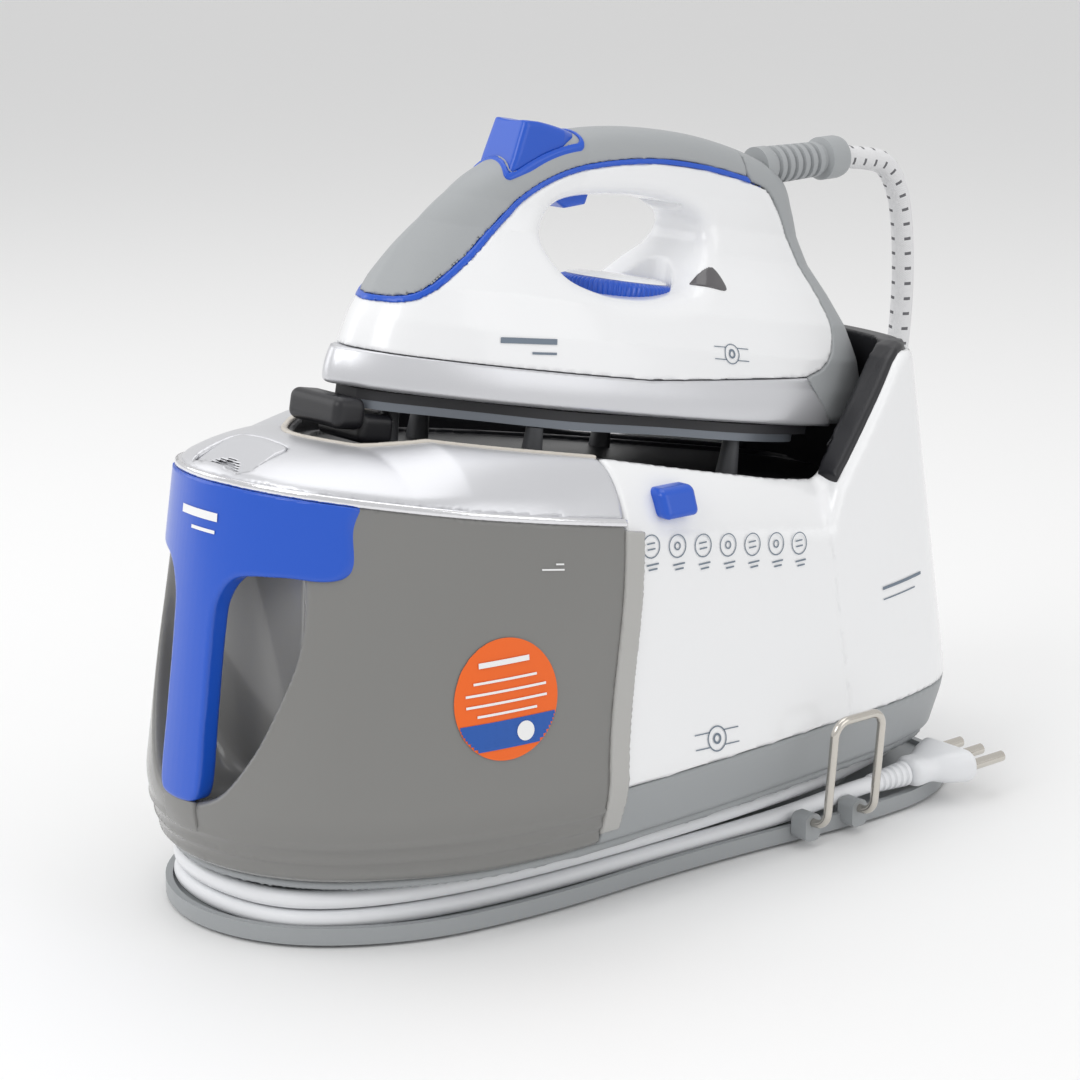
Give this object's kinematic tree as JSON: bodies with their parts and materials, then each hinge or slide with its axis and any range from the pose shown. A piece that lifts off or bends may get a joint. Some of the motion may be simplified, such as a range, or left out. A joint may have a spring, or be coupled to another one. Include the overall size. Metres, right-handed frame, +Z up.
{
  "type": "steam generator iron",
  "caption": "Steam generator iron: a pointed iron resting on a tall base with a pull-out water tank, a hose and a wound mains cord.",
  "frame": {"origin": "centre of the middle foot's underside, on the floor under the middle of the base", "axes": "+Z up, -Y towards the iron's nose and the tank, +X towards the flank that carries the lock slider"},
  "size_m": [0.3375, 0.4905, 0.3143],
  "materials": {
    "gloss_white": "gloss",
    "grey_band": "satin",
    "satin_grey": "satin",
    "silver": "satin",
    "blue": "gloss",
    "smoked": "gloss",
    "black": "matte",
    "sole": "satin",
    "rubber": "matte",
    "pale_rubber": "matte",
    "wire": "polished",
    "steel": "satin",
    "cast": "cast",
    "brass": "satin",
    "board": "satin",
    "cord_white": "satin",
    "textile": "matte",
    "frost": "satin"
  },
  "bodies": {
    "base": {"base_tray": "grey_band", "boiler": "steel", "boiler_brackets": "steel", "boiler_heater": "steel", "boiler_thermostat": "black", "button_board": "board", "circuit_board": "board", "control_panel": "grey_band", "heel_cradle": "black", "hose_coil": "textile", "hose_gland": "satin_grey", "housing_shell": "gloss_white", "lower_housing": "grey_band", "mains_gland": "cord_white", "plug_body": "cord_white", "plug_pins": "wire", "plug_relief": "cord_white", "power_cord": "cord_white", "pump": "black", "rest_pegs": "pale_rubber", "rest_tray": "black", "rubber_feet": "rubber", "safety_valve": "brass", "solenoid_valve": "brass", "status_lights": "frost", "steam_hose": "textile", "steam_hose_tail": "textile", "steam_pipe": "pale_rubber", "tank_coupling": "black"},
    "tank": {"tank_shell": "smoked", "tank_lid": "silver", "tank_handle": "blue", "tank_valve": "black"},
    "flap": {"fill_flap": "silver"},
    "nose_lock": {"nose_lock": "black"},
    "slider": {"lock_slider": "blue"},
    "bail": {"cord_bail": "wire"},
    "iron": {"soleplate": "sole", "heat_shield": "black", "steam_chamber": "cast", "iron_heater": "steel", "iron_thermostat": "brass", "skirt": "silver", "iron_shell": "gloss_white", "handle_cover": "satin_grey", "blue_trim": "blue", "rear_cover": "satin_grey", "signal_lens": "smoked", "microswitch": "black", "trigger_pin": "steel", "button_spring": "steel", "hose_relief": "satin_grey"},
    "dial": {"temperature_dial": "blue", "dial_cap": "gloss_white", "dial_shaft": "steel"},
    "trigger": {"steam_trigger": "blue"},
    "steam_button": {"steam_button": "blue"},
    "power_button": {"power_button": "gloss_white"},
    "steam_level_button": {"steam_level_button": "blue"}
  },
  "joints": [
    {"name": "iron_lift", "type": "slide", "parent": "base", "child": "iron", "axis": [0, -0.1305, 0.9914], "range_m": [0, 0.1], "deforming": ["steam_hose"]},
    {"name": "tank_slide", "type": "slide", "parent": "base", "child": "tank", "axis": [0, -1, 0], "range_m": [0, 0.2]},
    {"name": "flap_hinge", "type": "hinge", "parent": "tank", "child": "flap", "pos_m": [0, -0.17997, 0.1852], "axis": [1, 0, 0], "range_deg": [0, 100]},
    {"name": "slider_slide", "type": "slide", "parent": "base", "child": "slider", "axis": [0, -1, 0], "range_m": [0, 0.01]},
    {"name": "nose_lock_slide", "type": "slide", "parent": "base", "child": "nose_lock", "axis": [0, -0.9842, 0.1771], "range_m": [0, 0.005]},
    {"name": "bail_slide", "type": "slide", "parent": "base", "child": "bail", "axis": [1, 0, 0], "range_m": [0, 0.01]},
    {"name": "dial_turn", "type": "hinge", "parent": "iron", "child": "dial", "pos_m": [0, 0.02887, 0.23897], "axis": [0, 0.1771, 0.9842], "range_deg": [-135, 135]},
    {"name": "trigger_pull", "type": "hinge", "parent": "iron", "child": "trigger", "pos_m": [0, 0.04007, 0.27861], "axis": [-1, 0, 0], "range_deg": [0, 4], "stiffness_Nm_per_rad": 1},
    {"name": "steam_press", "type": "slide", "parent": "iron", "child": "steam_button", "axis": [0, -0.1771, -0.9842], "range_m": [0, 0.004], "stiffness_N_per_m": 600, "deforming": ["button_spring"]},
    {"name": "power_press", "type": "slide", "parent": "base", "child": "power_button", "axis": [0.9914, 0, -0.1305], "range_m": [0, 0.0015], "stiffness_N_per_m": 800},
    {"name": "steam_level_press", "type": "slide", "parent": "base", "child": "steam_level_button", "axis": [0.9914, 0, -0.1305], "range_m": [0, 0.0015], "stiffness_N_per_m": 800}
  ],
  "couplings": [
    {"joint": "nose_lock_slide", "follows": "slider_slide", "ratio": 0.5}
  ]
}
